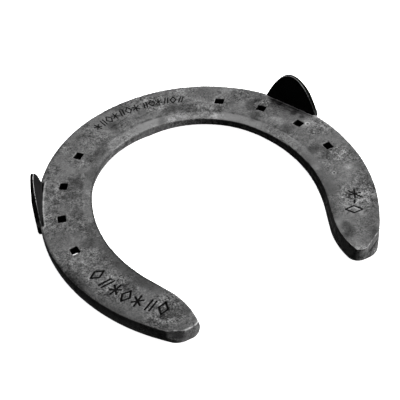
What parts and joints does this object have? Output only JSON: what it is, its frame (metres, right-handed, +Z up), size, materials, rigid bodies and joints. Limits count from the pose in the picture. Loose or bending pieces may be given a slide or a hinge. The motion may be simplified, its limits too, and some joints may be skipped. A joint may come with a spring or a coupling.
{
  "type": "horseshoe",
  "caption": "Light concave front horseshoe with a quarter clip on each side, creased ground face and square nail holes.",
  "frame": {"origin": "centre of the shoe's footprint, on the ground face", "axes": "+Z up from the ground face to the hoof, +Y towards the toe, +X towards the right branch seen from the hoof side"},
  "size_m": [0.124, 0.1216, 0.0202],
  "materials": {
    "forged_steel": "dull forge scale",
    "clip_steel": "dull forge scale, worn rim"
  },
  "bodies": {
    "root": {"shoe_body": "forged_steel", "right_quarter_clip": "clip_steel", "left_quarter_clip": "clip_steel"}
  },
  "joints": []
}
